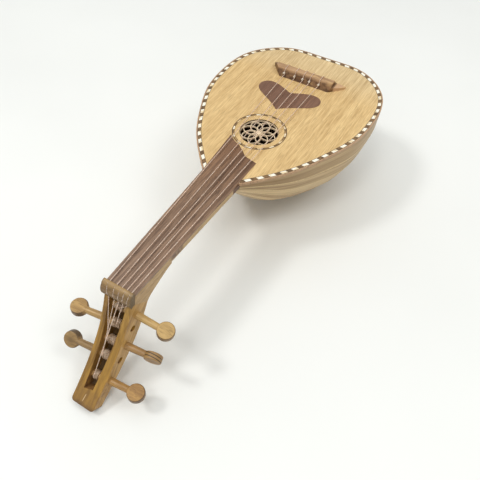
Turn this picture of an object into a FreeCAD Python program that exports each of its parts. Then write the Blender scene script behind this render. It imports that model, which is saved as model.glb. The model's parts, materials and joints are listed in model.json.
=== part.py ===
import FreeCAD, Part
import math
import os

# A small five-string oud, lying on the back of its bowl and the tip of its pegbox.
#
# The pieces are drawn in the board frame: origin at the centre of the sound hole on the top
# of the soundboard, +X towards the pegs, +Y across, +Z out of the soundboard. At the end they
# are all tilted and lifted onto the surface that the oud lies on (+Z up).
# The pegbox and pegs are drawn in the box frame: X along the pegbox from the nut, Z out of
# its open front.

V = FreeCAD.Vector

# ---- driving dimensions (mm, degrees) ----
TAIL_X = -126.0            # tail end of the soundboard
NECK_X = 60.0              # joint of body and neck
BOARD_T = 2.0              # soundboard thickness
# half outline of the soundboard from the tail to just past the neck joint
OUTLINE = [(-123.0, 38.5), (-97.5, 67.7), (-61.0, 75.0), (-30.0, 71.7), (-4.5, 62.0),
           (20.0, 49.7), (45.0, 31.0), (NECK_X, 17.0), (68.0, 9.5)]

BINDING_W = 1.0
LINE_W = 0.35              # dark stringing on both sides of the edge blocks
BLOCK_W = 2.5
PURFLING_DEPTH = 1.0
PURFLING_BLOCKS = 52       # light and dark blocks along each side
BLOCK_SLANT = 1.4

HOLE_R = 16.1
HOLE_AT = (0.2, -1.0)      # the hole and its ring were cut a little off centre
RING_AT = (-0.6, -1.1)
RING_IN = 20.6
RING_OUT = 22.8
RING_LINE_OUT = 0.7
RING_LINE_IN = 0.25
RING_PAIRS = 14
RING_DEPTH = 0.8
FRET_R = 18.6
FRET_T = 1.4
FRET_DEEP = 1.0            # rebate under the soundboard that takes the fretwork
FRET_RIM = 0.3
FRET_BOSS = 1.5
FRET_ARC_W = 0.52
FRET_PETALS = 8

BOWL_DEEPER = 1.12         # bowl depth over its half width
NECK_DEEPER = 0.70         # the same at the neck joint, where the bowl flattens
FLATTEN_X = 10.0           # where it starts to flatten
RIB_COUNT = 15
RIB_T = 2.2
RIB_LINE_W = 0.6
TAIL_HOLE = 6.0            # half width where the ribs end at the tail

FINGER_T = 1.2
FINGER_PROUD = 0.15
NUT_X = 178.8
NUT_HALF = 11.8
JOINT_HALF = 15.8
TONGUE_HALF = 18.6
NECK_START = 67.0
HEAD_START = 142.0         # where the neck's underside starts to sweep down
NECK_SIDE = 3.0            # height of the neck's straight sides
NECK_ROUND = 8.5           # depth of its round back

NUT_TOP = 1.9              # height of the nut above the soundboard
NUT_TOE = 0.5              # how far the nut's front reaches down the pegbox
NUT_SHRINK = 0.85          # the strings draw together down the nut's front
NUT_BACK_X = 181.0         # back of the nut where it sits on the pegbox
NUT_LEFT = -12.9
NUT_RIGHT = 11.6
GROOVE_PLAY = 0.1

BEND = 47.3                # pegbox angle below the neck
BOX_X = 184.1              # front of the pegbox, where it meets the nut
BOX_Z = -8.7
BOX_L = 81.5
BOX_HALF_TOP = 11.5
BOX_HALF_TIP = 9.7
BOX_WAIST = 0.55           # narrowing at the middle
BOX_DEEP_TOP = 17.4
BOX_DEEP_TIP = 8.4
BOX_SAG = 5.5              # how far the front edge curves back
BOX_SAG_BIAS = -0.29       # below zero: the curve is stronger near the nut
LEFT_CHEEK_TOP = 2.9
RIGHT_CHEEK_TOP = 4.4
CHEEK_GROWTH = 2.9         # both cheeks thicken towards the tip
FLOOR_T = 1.8
END_L = 12.5
END_SKEW = 2.2             # the well's end runs this much further down at the left

# the pegs from the nut down; side 1 is the right cheek
PEG_AT = [7.5, 19.5, 32.8, 44.5, 59.9]
PEG_SIDE = [1, -1, 1, -1, 1]
PEG_DEEP = [8.4, 6.7, 6.5, 6.2, 5.2]    # axis below the front edge
PEG_SKEW = [-3.0, 5.9, 5.0, 6.5, 5.8]   # lean along the pegbox
PEG_LEAN = [-6.0, 5.0, -3.0, 0.5, -0.5] # lean out of its front
PEG_TURN = [42.0, 46.0, -52.0, -2.0, 43.0]
PEG_REACH = [33.6, 32.0, 31.8, 30.7, 31.1]
PEG_R = 2.75
PEG_TIP_R = 2.35
PEG_NECK_R = 2.45          # where the shaft meets the head
PEG_PLAY = 0.06
HEAD_R = 6.3
HEAD_T = 5.4
HEAD_NOD = 0.14            # how far the heads' faces lean to the right
TIP_INSET = 1.6            # peg tips stop this far inside the far cheek's outside
FAR_STEP = 7.9             # and the shafts step down this far from it
WIND_R = 3.8
WIND_HALF = [3.6, 3.6, 3.6, 3.1, 2.5]      # half width of each winding
WIND_Y = [-2.4, -0.9, 0.0, -0.4, -0.9]     # middle of the winding on each peg

STRING_R = 0.3
STRING_LIFT = STRING_R + 0.1   # a string's centre above what it lies on
NUT_Y = [-8.2, -2.5, 1.8, 5.7, 9.6]
BRIDGE_Y = [-20.6, -10.0, -1.8, 4.9, 14.1]
STRING_PEG = [2, 3, 4, 1, 0]           # the peg that winds each string
STRING_Y = [-1.9, -1.7, -1.2, 0.7, -1.0]  # where each string meets its peg
STRING_CLEAR = 0.35

BRIDGE_FRONT = -77.4
BRIDGE_W = 14.0
BRIDGE_H = 7.0
BRIDGE_TOP_FRONT = 4.0     # bevel of the front face
BRIDGE_TOP_W = 5.6
BRIDGE_LEFT = -36.5
BRIDGE_RIGHT = 35.3
STRING_HOLE_Z = 2.8
STRING_HOLE_R = 0.55

GUARD_Y = -4.1
GUARD_T = 1.0
GUARD_PROUD = 0.2
# half outline of the pickguard from its point to the notch facing the bridge
GUARD = [(-33.0, 0.0), (-38.3, 6.6), (-44.6, 16.8), (-50.0, 25.3), (-57.3, 29.8), (-64.8, 26.6),
         (-66.7, 20.0), (-64.6, 11.5), (-61.3, 4.2), (-60.0, 0.0)]


# ---- small helpers ----
def solid_of(shape):
    """The one solid of a boolean result."""
    solids = shape.Solids
    return solids[0] if len(solids) == 1 else Part.makeCompound(solids)


def prism(points, z_low, z_high):
    """A straight prism over a closed polygon given in X and Y."""
    corners = [V(x, y, z_low) for x, y in points]
    return Part.Face(Part.makePolygon(corners + corners[:1])).extrude(V(0, 0, z_high - z_low))


def side_prism(points, half):
    """A prism across the oud over a closed polygon given in X and Z."""
    corners = [V(x, -half, z) for x, z in points]
    return Part.Face(Part.makePolygon(corners + corners[:1])).extrude(V(0, 2 * half, 0))


def disc(radius, z_low, z_high, x=0.0, y=0.0):
    return Part.makeCylinder(radius, z_high - z_low, V(x, y, z_low))


def tube(radius, inner, z_low, z_high, x=0.0, y=0.0):
    outer = disc(radius, z_low, z_high, x, y)
    return outer.cut(disc(inner, z_low - 1, z_high + 1, x, y))


def fuse_all(shapes):
    first = shapes[0]
    if len(shapes) == 1:
        return first
    return first.multiFuse(shapes[1:]).removeSplitter()


# ---- the soundboard's outline ----
def make_edge_curve():
    """Half outline as a smooth curve from the tail, square to the centre line there."""
    curve = Part.BSplineCurve()
    points = [V(TAIL_X, 0, 0)] + [V(x, y, 0) for x, y in OUTLINE]
    tangents = [V(0, 1, 0)] + [V(0, 0, 0)] * (len(points) - 2) + [V(0.73, -0.68, 0)]
    flags = [True] + [False] * (len(points) - 2) + [True]
    curve.interpolate(Points=points, Tangents=tangents, TangentFlags=flags)
    return curve


EDGE = make_edge_curve()
EDGE_STEPS = 600
EDGE_START = EDGE.FirstParameter
EDGE_SPAN = EDGE.LastParameter - EDGE_START


def edge_at(share):
    """Point and inward normal of the outline, at a share of its parameter range."""
    value = EDGE_START + EDGE_SPAN * share
    along = EDGE.tangent(value)[0]
    return EDGE.value(value), V(along.y, -along.x, 0)


def edge_table():
    """Distance along the half outline at evenly spaced parameters."""
    table = [0.0]
    last = edge_at(0.0)[0]
    for step in range(1, EDGE_STEPS + 1):
        here = edge_at(step / EDGE_STEPS)[0]
        table.append(table[-1] + (here - last).Length)
        last = here
    return table


EDGE_LENGTHS = edge_table()


def share_at_length(length):
    """Parameter share at a distance from the tail along the half outline."""
    low = 0
    high = EDGE_STEPS
    while high - low > 1:
        middle = (low + high) // 2
        if EDGE_LENGTHS[middle] <= length:
            low = middle
        else:
            high = middle
    part = (length - EDGE_LENGTHS[low]) / (EDGE_LENGTHS[high] - EDGE_LENGTHS[low])
    return (low + part) / EDGE_STEPS


def share_at_x(target):
    """Parameter share where the outline, past its widest point, reaches an X."""
    low = 0.3
    high = 1.0
    for _ in range(50):
        middle = 0.5 * (low + high)
        if edge_at(middle)[0].x < target:
            low = middle
        else:
            high = middle
    return low


def share_at_width(target):
    """Parameter share near the tail where the half width reaches a value."""
    low = 0.0
    high = 0.15
    for _ in range(50):
        middle = 0.5 * (low + high)
        if edge_at(middle)[0].y < target:
            low = middle
        else:
            high = middle
    return low


def width_at(x):
    """Half width of the outline at an X between the widest point and the neck."""
    return edge_at(share_at_x(x))[0].y


def full_width_at(x):
    """Half width of the outline at any X, found by walking the curve."""
    best = 0.0
    for step in range(EDGE_STEPS):
        here = edge_at(step / EDGE_STEPS)[0]
        after = edge_at((step + 1) / EDGE_STEPS)[0]
        if (here.x - x) * (after.x - x) <= 0:
            best = max(best, here.y)
    return best


INSET_POINTS = 28


def inset_half(inset):
    """The half outline moved inwards, as a smooth curve."""
    points = []
    for step in range(INSET_POINTS + 1):
        point, inward = edge_at(step / INSET_POINTS)
        points.append(point + inward * inset)
    points[0] = V(TAIL_X + inset, 0, 0)
    curve = Part.BSplineCurve()
    tangents = [V(0, 1, 0)] + [V(0, 0, 0)] * (len(points) - 1)
    flags = [True] + [False] * (len(points) - 1)
    curve.interpolate(Points=points, Tangents=tangents, TangentFlags=flags)
    return curve


def board_blank(inset, z_low, z_high):
    """The soundboard's outline, inset, as a plate that ends at the neck joint."""
    right = inset_half(inset).toShape()
    left = right.mirror(V(0, 0, 0), V(0, 1, 0))
    end = right.Vertexes[-1].Point
    close = Part.makeLine(V(end.x, end.y, 0), V(end.x, -end.y, 0))
    wire = Part.Wire(Part.__sortEdges__([right, close, left]))
    plate = Part.Face(wire).extrude(V(0, 0, z_high - z_low))
    plate.translate(V(0, 0, z_low))
    beyond = Part.makeBox(60, 200, 40, V(NECK_X, -100, z_low - 20))
    return plate.cut(beyond)


def deeper(x):
    """Bowl depth over its half width at an X."""
    part = max(0.0, (x - FLATTEN_X) / (NECK_X - FLATTEN_X))
    return BOWL_DEEPER - (BOWL_DEEPER - NECK_DEEPER) * part * part


# ---- fingerboard, neck and nut ----
def finger_half(x):
    """Half width of the fingerboard."""
    if x > NECK_X:
        return NUT_HALF + (JOINT_HALF - NUT_HALF) * (NUT_X - x) / (NUT_X - NECK_X)
    return JOINT_HALF + (TONGUE_HALF - JOINT_HALF) * (NECK_X - x) / 40.0


def finger_blank(z_low, z_high):
    """Fingerboard in plan: slanted end on the soundboard, bitten out round the rosette."""
    left_corner = 13.0
    right_corner = 34.0
    points = [(NUT_X, NUT_HALF), (NUT_X, -NUT_HALF), (NECK_X, -JOINT_HALF),
              (left_corner, -finger_half(left_corner)), (27.5, 0.0), (31.5, 4.4),
              (right_corner, finger_half(right_corner) - 1.6), (NECK_X, JOINT_HALF)]
    plate = prism(points, z_low, z_high)
    return plate.cut(disc(RING_OUT + 0.7, z_low - 1, z_high + 1, *RING_AT))


def make_fingerboard():
    return solid_of(finger_blank(-FINGER_T, FINGER_PROUD))


def neck_section(x, half, top, side, depth):
    """U-shaped section: flat top, short straight sides and a half-ellipse back."""
    base = top - side
    points = []
    for step in range(13):
        angle = math.pi * step / 12
        points.append(V(x, half * math.cos(angle), base - depth * math.sin(angle)))
    back = Part.BSplineCurve()
    back.interpolate(Points=points)
    right = Part.makeLine(V(x, half, top), points[0])
    left = Part.makeLine(points[-1], V(x, -half, top))
    lid = Part.makeLine(V(x, -half, top), V(x, half, top))
    return Part.Wire([right, back.toShape(), left, lid])


def box_point(along, deep):
    """Board-frame X and Z of a point of the pegbox's side view."""
    bend = math.radians(BEND)
    x = BOX_X + along * math.cos(bend) - deep * math.sin(bend)
    z = BOX_Z - along * math.sin(bend) - deep * math.cos(bend)
    return x, z


def join_depths():
    """Position along the pegbox of the plane where the neck's end meets it."""
    bend = math.radians(BEND)
    along = (NUT_BACK_X - BOX_X) * math.cos(bend)
    deep = (BOX_X - NUT_BACK_X) * math.sin(bend)
    return along, deep


def make_neck():
    """Neck shaft with its head, which sweeps down to carry the pegbox."""
    sections = [neck_section(NECK_START, finger_half(NECK_START), -FINGER_T, NECK_SIDE,
                             NECK_ROUND + 1.0),
                neck_section(NUT_X, NUT_HALF, -FINGER_T, NECK_SIDE, NECK_ROUND)]
    shaft = Part.makeLoft(sections, True, True)
    along, deep = join_depths()
    back_x, back_z = box_point(along, BOX_DEEP_TOP)
    bend = math.radians(BEND)
    under = Part.BSplineCurve()
    under.interpolate(Points=[V(HEAD_START, 0, -7.5), V(HEAD_START + 16, 0, -12.6),
                              V(back_x, 0, back_z)],
                      Tangents=[V(1, 0, -0.12), V(0, 0, 0), V(math.cos(bend), 0, -math.sin(bend))],
                      TangentFlags=[True, False, True])
    shelf = FINGER_T + 0.8
    slope = (NUT_BACK_X - NUT_X) / (-BOX_Z - FINGER_T)
    corners = [V(HEAD_START, 0, -7.5), V(HEAD_START, 0, -6.0), V(NUT_X - 3, 0, -6.0),
               V(NUT_X - 3, 0, -shelf), V(NUT_X + slope * (shelf - FINGER_T), 0, -shelf),
               V(NUT_BACK_X, 0, BOX_Z), V(back_x, 0, back_z)]
    edges = [Part.makeLine(start, end) for start, end in zip(corners, corners[1:])]
    profile = Part.Face(Part.Wire(Part.__sortEdges__(edges + [under.toShape()])))
    profile.translate(V(0, -20, 0))
    head = profile.extrude(V(0, 40, 0))
    shy = 0.04
    wide = finger_half(130) - shy
    slim = box_half(along) + shy
    plan = prism([(130, wide), (back_x, slim), (190, slim), (190, -slim), (back_x, -slim), (130, -wide)],
                 -40, 10)
    return solid_of(shaft.fuse(head.common(plan)).removeSplitter())


def make_heel_collar():
    """Dark collar between the neck and the front of the bowl."""
    bowl_half = width_at(NECK_X)
    half = finger_half(NECK_START)
    slim = neck_section(NECK_START, half, -FINGER_T, NECK_SIDE, NECK_ROUND + 1.0)
    wide = neck_section(NECK_X, bowl_half - 0.2, -FINGER_T, 0.9, bowl_half * deeper(NECK_X) - 0.4)
    return solid_of(Part.makeLoft([wide, slim], True, True))


def string_behind_bridge(index):
    """Point behind the bridge where a string turns into its hole."""
    return V(BRIDGE_FRONT - BRIDGE_W - 0.8, BRIDGE_Y[index], STRING_HOLE_Z)


def nut_front():
    """Points down the nut's rounded front, from its crown to its toe."""
    toe_x, toe_z = box_point(NUT_TOE, 0.1 - front_z(NUT_TOE))
    return [V(NUT_X + 1.2, 0, NUT_TOP), V(NUT_X + 3.0, 0, NUT_TOP - 0.6),
            V(NUT_X + 4.4, 0, NUT_TOP - 2.2), V(NUT_X + 6.4, 0, NUT_TOP - 6.2),
            V(toe_x + 0.7, 0, toe_z + 1.0), V(toe_x, 0, toe_z)]


def strings_over_nut(index):
    """The string's points over the nut, where it lies half sunk in a groove."""
    crown, brow, upper, lower, tip, toe = nut_front()
    points = []
    for point, share in ((brow - V(0.6, 0, 0), 0.0), (upper, 0.2), (lower, 0.6), (tip, 1.0)):
        y = NUT_Y[index] * (1 - (1 - NUT_SHRINK) * share)
        points.append(V(point.x, y, point.z))
    return points


def make_nut():
    """Rounded bar over the end of the neck, overhanging at the left, with string grooves."""
    crown, brow, upper, lower, tip, toe = nut_front()
    foot = V(NUT_X, 0, -FINGER_T)
    rise = V(NUT_X, 0, NUT_TOP - 1.2)
    seat_front = V(BOX_X, 0, BOX_Z)
    seat = V(NUT_BACK_X, 0, BOX_Z)
    edges = [Part.makeLine(foot, rise),
             Part.Arc(rise, V(NUT_X + 0.35, 0, NUT_TOP - 0.35), crown).toShape(),
             Part.Arc(crown, brow, upper).toShape(), Part.Arc(upper, lower, tip).toShape(),
             Part.makeLine(tip, toe), Part.makeLine(toe, seat_front),
             Part.makeLine(seat_front, seat), Part.makeLine(seat, foot)]
    face = Part.Face(Part.Wire(edges))
    face.translate(V(0, NUT_LEFT, 0))
    bar = face.extrude(V(0, NUT_RIGHT - NUT_LEFT, 0))
    for index in range(len(NUT_Y)):
        bar = bar.cut(make_string(index, STRING_R + GROOVE_PLAY))
    return solid_of(bar)


# ---- soundboard with its inlays ----
def guard_outline():
    """Closed outline of the pickguard: one smooth half and its mirror."""
    curve = Part.BSplineCurve()
    points = [V(x, GUARD_Y + y, 0) for x, y in GUARD]
    tangents = [V(0, 0, 0)] * (len(points) - 1) + [V(0, -1, 0)]
    flags = [False] * (len(points) - 1) + [True]
    curve.interpolate(Points=points, Tangents=tangents, TangentFlags=flags)
    right = curve.toShape()
    left = right.mirror(V(0, GUARD_Y, 0), V(0, 1, 0))
    return Part.Wire(Part.__sortEdges__([right, left]))


def guard_plate(z_low, z_high):
    plate = Part.Face(guard_outline()).extrude(V(0, 0, z_high - z_low))
    plate.translate(V(0, 0, z_low))
    return plate


PURFLING_OUT = BINDING_W
PURFLING_IN = BINDING_W + 2 * LINE_W + BLOCK_W


def make_soundboard():
    board = board_blank(BINDING_W, -BOARD_T, 0)
    ledge = board_blank(PURFLING_OUT - 0.5, -PURFLING_DEPTH, 1)
    ledge = ledge.cut(board_blank(PURFLING_IN, -PURFLING_DEPTH - 1, 2))
    board = board.cut(ledge)
    board = board.cut(disc(HOLE_R, -10, 10, *HOLE_AT))
    board = board.cut(disc(FRET_R + 0.1, -10, -FRET_DEEP, *HOLE_AT))
    board = board.cut(tube(RING_OUT, RING_IN, -RING_DEPTH, 5, *RING_AT))
    board = board.cut(finger_blank(-FINGER_T, 5))
    board = board.cut(guard_plate(GUARD_PROUD - GUARD_T, 5))
    return solid_of(board)


def make_binding():
    ring = board_blank(0.0, -BOARD_T, 0).cut(board_blank(BINDING_W, -BOARD_T - 1, 1))
    return solid_of(ring.cut(finger_blank(-FINGER_T, 5)))


def purfling_ring(outer, inner):
    """A strip of the edge inlay between two insets."""
    ring = board_blank(outer, -PURFLING_DEPTH, 0)
    ring = ring.cut(board_blank(inner, -PURFLING_DEPTH - 1, 1))
    return ring.cut(finger_blank(-FINGER_T, 5))


def make_purfling_lines():
    outer = purfling_ring(PURFLING_OUT, PURFLING_OUT + LINE_W)
    inner = purfling_ring(PURFLING_IN - LINE_W, PURFLING_IN)
    return Part.makeCompound(outer.Solids + inner.Solids)


def make_purfling_blocks():
    """Slanted light and dark blocks, cut from the strip between the two lines."""
    strip = purfling_ring(PURFLING_OUT + LINE_W, PURFLING_IN - LINE_W)
    length = EDGE_LENGTHS[int(share_at_x(NECK_X) * EDGE_STEPS)]
    step = length / PURFLING_BLOCKS
    light = []
    dark = []
    for side in (1, -1):
        for index in range(PURFLING_BLOCKS + 1):
            corners = []
            for offset, inset, lean in ((0, -1, -1), (1, -1, -1), (1, PURFLING_IN + 1, 1),
                                        (0, PURFLING_IN + 1, 1)):
                at = (index + offset) * step + lean * BLOCK_SLANT * side
                point, inward = edge_at(share_at_length(max(at, 0.0)))
                place = point + inward * inset
                if at < 0:
                    place = place + V(0, at, 0)
                corners.append((place.x, side * place.y))
            block = strip.common(prism(corners, -5, 5))
            group = light if (index % 2 == 0) == (side > 0) else dark
            group.extend(block.Solids)
    return Part.makeCompound(light), Part.makeCompound(dark)


def ring_sector(outer, inner, start, end, lean):
    """One slanted block of the rosette's ring, between two angles in degrees."""
    def spot(radius, angle):
        turn = math.radians(angle)
        return RING_AT[0] + radius * math.cos(turn), RING_AT[1] + radius * math.sin(turn)
    corners = [spot(outer + 2, start + lean), spot(outer + 2, end + lean),
               spot(inner - 2, end - lean), spot(inner - 2, start - lean)]
    ring = tube(outer, inner, -RING_DEPTH, 0, *RING_AT)
    return ring.common(prism(corners, -5, 5))


def make_rosette_ring():
    """Light and dark blocks of the ring, and the thin lines on both sides."""
    step = 360.0 / RING_PAIRS
    outer = RING_OUT - RING_LINE_OUT
    inner = RING_IN + RING_LINE_IN
    light = []
    dark = []
    for index in range(RING_PAIRS):
        start = index * step
        light.extend(ring_sector(outer, inner, start, start + 0.42 * step, 1.5).Solids)
        dark.extend(ring_sector(outer, inner, start + 0.42 * step, start + step, 1.5).Solids)
    lines = [tube(RING_OUT, outer, -RING_DEPTH, 0, *RING_AT),
             tube(inner, RING_IN, -RING_DEPTH, 0, *RING_AT)]
    return Part.makeCompound(light), Part.makeCompound(dark), Part.makeCompound(lines)


def make_fretwork():
    """Pierced rosette glued under the sound hole: overlapping rings round a boss."""
    low = -FRET_DEEP - FRET_T
    high = -FRET_DEEP
    pieces = [tube(FRET_R, HOLE_R - FRET_RIM, low, high, *HOLE_AT),
              disc(FRET_BOSS, low, high, *HOLE_AT)]
    reach = HOLE_R
    for index in range(FRET_PETALS):
        angle = 2 * math.pi * (index + 0.5) / FRET_PETALS
        x = HOLE_AT[0] + 0.5 * reach * math.cos(angle)
        y = HOLE_AT[1] + 0.5 * reach * math.sin(angle)
        pieces.append(tube(0.5 * reach + 0.5 * FRET_ARC_W, 0.5 * reach - 0.5 * FRET_ARC_W,
                           low, high, x, y))
    return solid_of(fuse_all(pieces))


def make_pickguard():
    return solid_of(guard_plate(GUARD_PROUD - GUARD_T, GUARD_PROUD))


# ---- bridge ----
def make_bridge():
    """Hand-cut bar with a bevelled front, pointed ends and five string holes."""
    back = BRIDGE_FRONT - BRIDGE_W
    top_front = BRIDGE_FRONT - BRIDGE_TOP_FRONT
    top_back = top_front - BRIDGE_TOP_W
    bar = side_prism([(BRIDGE_FRONT, 0), (top_front, BRIDGE_H), (top_back, BRIDGE_H),
                      (back, 1.2), (back, 0)], 40)
    plan = prism([(BRIDGE_FRONT, -25.0), (BRIDGE_FRONT, 23.4), (-86.0, 32.0),
                  (back + 1.0, BRIDGE_RIGHT), (back, BRIDGE_RIGHT - 1.0), (back, BRIDGE_LEFT + 1.2),
                  (back + 1.2, BRIDGE_LEFT)], -1, 10)
    bar = bar.common(plan)
    right_cut = Part.Face(Part.makePolygon([V(-60, 25.6, 20), V(-60, 25.6, 3.6), V(-60, 40, 1.0),
                                            V(-60, 40, 20), V(-60, 25.6, 20)]))
    bar = bar.cut(right_cut.extrude(V(-60, 0, 0)))
    left_cut = Part.Face(Part.makePolygon([V(-60, -30.0, 7.0), V(-60, -30.0, 20), V(-60, -45, 20),
                                           V(-60, -45, -2), V(-60, -30.0, 7.0)]))
    bar = bar.cut(left_cut.extrude(V(-60, 0, 0)))
    for index in range(len(BRIDGE_Y)):
        behind = string_behind_bridge(index)
        run = strings_over_nut(index)[0] - behind
        run.normalize()
        bar = bar.cut(Part.makeCylinder(STRING_HOLE_R, 40, behind - run * 5, run))
    return solid_of(bar)


# ---- bowl ----
RIB_STATIONS = 16


def bowl_stations():
    """Shares of the outline at which the ribs' long edges are fixed, tail to neck."""
    start = share_at_width(TAIL_HOLE)
    end = share_at_x(NECK_X)
    shares = []
    for step in range(RIB_STATIONS + 1):
        part = step / RIB_STATIONS
        eased = part - 0.10 * math.sin(math.pi * part) * math.cos(0.5 * math.pi * part)
        shares.append(start + (end - start) * max(eased, 0.0))
    shares[0] = start
    shares[-1] = end
    return shares


STATIONS = bowl_stations()


def bowl_point(share, angle, shift, deep):
    """A point of the bowl: the outline swung down by an angle about the centre line.

    shift moves it sideways along the surface and deep moves it inwards.
    """
    point, inward = edge_at(share)
    half = point.y
    ratio = deeper(point.x)
    flattening = (deeper(point.x + 0.01) - deeper(point.x - 0.01)) / 0.02
    turn = math.radians(angle) + shift / (half * ratio)
    place = V(point.x, half * math.cos(turn), -BOARD_T - ratio * half * math.sin(turn))
    outward = V(inward.y * flattening * half * math.sin(turn) ** 2 - inward.x * ratio,
                -inward.y * ratio * math.cos(turn), inward.y * math.sin(turn))
    outward.normalize()
    return place - outward * deep


def bowl_rail(angle, shift, deep):
    """A long edge of a rib, outside (deep 0) or inside (deep is the rib's thickness)."""
    curve = Part.BSplineCurve()
    curve.interpolate(Points=[bowl_point(share, angle, shift, deep) for share in STATIONS])
    return curve.toShape()


def stave(angle_low, shift_low, angle_high, shift_high):
    """A strip of the bowl between two long edges, flat across its width."""
    outer_low = bowl_rail(angle_low, shift_low, 0.0)
    outer_high = bowl_rail(angle_high, shift_high, 0.0)
    inner_low = bowl_rail(angle_low, shift_low, RIB_T)
    inner_high = bowl_rail(angle_high, shift_high, RIB_T)
    faces = [Part.makeRuledSurface(outer_low, outer_high), Part.makeRuledSurface(inner_low, inner_high),
             Part.makeRuledSurface(outer_low, inner_low), Part.makeRuledSurface(outer_high, inner_high)]
    for end in (0, -1):
        outside = Part.makeLine(outer_low.Vertexes[end].Point, outer_high.Vertexes[end].Point)
        inside = Part.makeLine(inner_low.Vertexes[end].Point, inner_high.Vertexes[end].Point)
        faces.append(Part.makeRuledSurface(outside, inside))
    shell = Part.makeShell(faces)
    shell.sewShape()
    solid = Part.makeSolid(shell)
    if solid.Volume < 0:
        solid.reverse()
    return solid


def make_ribs():
    """Ribs side by side from rim to rim, with a thin line of light wood between them."""
    step = 180.0 / RIB_COUNT
    half_line = 0.5 * RIB_LINE_W
    ribs = []
    lines = []
    for index in range(RIB_COUNT):
        low_shift = half_line if index > 0 else 0.0
        high_shift = -half_line if index < RIB_COUNT - 1 else 0.0
        ribs.append(stave(index * step, low_shift, (index + 1) * step, high_shift))
        if index > 0:
            lines.append(stave(index * step, -half_line, index * step, half_line))
    return ribs, Part.makeCompound(lines)


def half_round(x, half, deep, top):
    """A half-ellipse section hanging below a level."""
    return neck_section(x, half, top, 0.01, deep)


def make_neck_block():
    """Block inside the bowl that the neck is glued to."""
    sections = []
    for x in (34.0, NECK_X - 0.1):
        half = width_at(x) - RIB_T - 1.6
        sections.append(half_round(x, half, half * deeper(x) - 2.2, -BOARD_T))
    return solid_of(Part.makeLoft(sections, True, True))


def make_tail_block():
    """Block inside the bowl at the tail, with a stub that fills the ribs' end."""
    sections = []
    for x, half in ((TAIL_X + 3.4, 24.0), (TAIL_X + 14.0, 40.0)):
        sections.append(half_round(x, half, half * BOWL_DEEPER - 1.0, -BOARD_T))
    block = Part.makeLoft(sections, True, True)
    stub = Part.makeLoft([half_round(TAIL_X - 0.4, TAIL_HOLE - 0.5, TAIL_HOLE - 0.5, -BOARD_T),
                          half_round(TAIL_X + 5.0, TAIL_HOLE - 0.5, TAIL_HOLE - 0.5, -BOARD_T)],
                         True, True)
    return solid_of(block.fuse(stub).removeSplitter())


def make_tail_cap():
    """Thin cap over the ribs' ends at the tail."""
    sections = [half_round(TAIL_X - 0.4, 12.0, 14.0, -BOARD_T),
                half_round(TAIL_X - 1.6, 10.5, 12.5, -BOARD_T)]
    return solid_of(Part.makeLoft(sections, True, True))


LINING_W = 3.0
LINING_H = 4.0


def make_lining(side):
    """Strip glued inside the rim, under the soundboard's edge."""
    start = share_at_width(33.0)
    end = share_at_x(30.0)
    inset = RIB_T + 0.8
    curves = []
    for extra in (0.0, LINING_W):
        points = []
        for step in range(15):
            point, inward = edge_at(start + (end - start) * step / 14)
            place = point + inward * (inset + extra)
            points.append(V(place.x, side * place.y, -BOARD_T - LINING_H))
        curve = Part.BSplineCurve()
        curve.interpolate(Points=points)
        curves.append(curve.toShape())
    ends = [Part.makeLine(curves[0].Vertexes[i].Point, curves[1].Vertexes[i].Point) for i in (0, -1)]
    face = Part.Face(Part.Wire(Part.__sortEdges__(curves + ends)))
    return solid_of(face.extrude(V(0, 0, LINING_H)))


def make_brace(x):
    """Bar across the underside of the soundboard, between the linings."""
    half = min(full_width_at(x - 2.0), full_width_at(x + 2.0)) - RIB_T - LINING_W - 3.0
    bar = Part.makeBox(4.0, 2 * half, 6.0, V(x - 2.0, -half, -BOARD_T - 6.0))
    lower = [edge for edge in bar.Edges
             if edge.BoundBox.ZMax < -BOARD_T - 5.9 and edge.BoundBox.YLength > half]
    return bar.makeChamfer(1.2, lower)


# ---- pegbox, drawn in the box frame ----
def to_board(shape):
    """Turn a shape from the box frame to the board frame."""
    shape.rotate(V(0, 0, 0), V(0, 1, 0), BEND)
    shape.translate(V(BOX_X, 0, BOX_Z))
    return shape


def front_z(along):
    part = along / BOX_L
    return -4 * BOX_SAG * part * (1 - part) * (1 + BOX_SAG_BIAS * (2 * part - 1))


def back_z(along):
    part = along / BOX_L
    return front_z(along) - BOX_DEEP_TOP + (BOX_DEEP_TOP - BOX_DEEP_TIP) * part ** 1.4


def side_curve(height, start, end, drop=0.0):
    """A smooth line of the pegbox's side view."""
    points = []
    for step in range(9):
        along = start + (end - start) * step / 8
        points.append(V(along, 0, height(max(along, 0.0)) + drop))
    curve = Part.BSplineCurve()
    curve.interpolate(Points=points)
    return curve.toShape()


def box_profile(high, low, start, end, high_drop=0.0, low_drop=0.0):
    """Solid across the pegbox between two lines of its side view."""
    top = side_curve(high, start, end, high_drop)
    bottom = side_curve(low, start, end, low_drop)
    ends = [Part.makeLine(top.Vertexes[i].Point, bottom.Vertexes[i].Point) for i in (0, -1)]
    face = Part.Face(Part.Wire(Part.__sortEdges__([top, bottom] + ends)))
    face.translate(V(0, -20, 0))
    return face.extrude(V(0, 40, 0))


def box_half(along):
    part = along / BOX_L
    return BOX_HALF_TOP + (BOX_HALF_TIP - BOX_HALF_TOP) * part - 4 * BOX_WAIST * part * (1 - part)


def box_plan(start, end, left_wall=0.0, right_wall=0.0, growth=0.0):
    """Solid in plan, its sides moved inwards by walls that thicken towards the tip."""
    sides = []
    for side, wall in ((-1, left_wall), (1, right_wall)):
        points = []
        for step in range(7):
            along = start + (end - start) * step / 6
            points.append(V(along, side * (box_half(along) - wall - growth * along / BOX_L), -60))
        curve = Part.BSplineCurve()
        curve.interpolate(Points=points)
        sides.append(curve.toShape())
    ends = [Part.makeLine(sides[0].Vertexes[i].Point, sides[1].Vertexes[i].Point) for i in (0, -1)]
    return Part.Face(Part.Wire(Part.__sortEdges__(sides + ends))).extrude(V(0, 0, 90))


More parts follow.
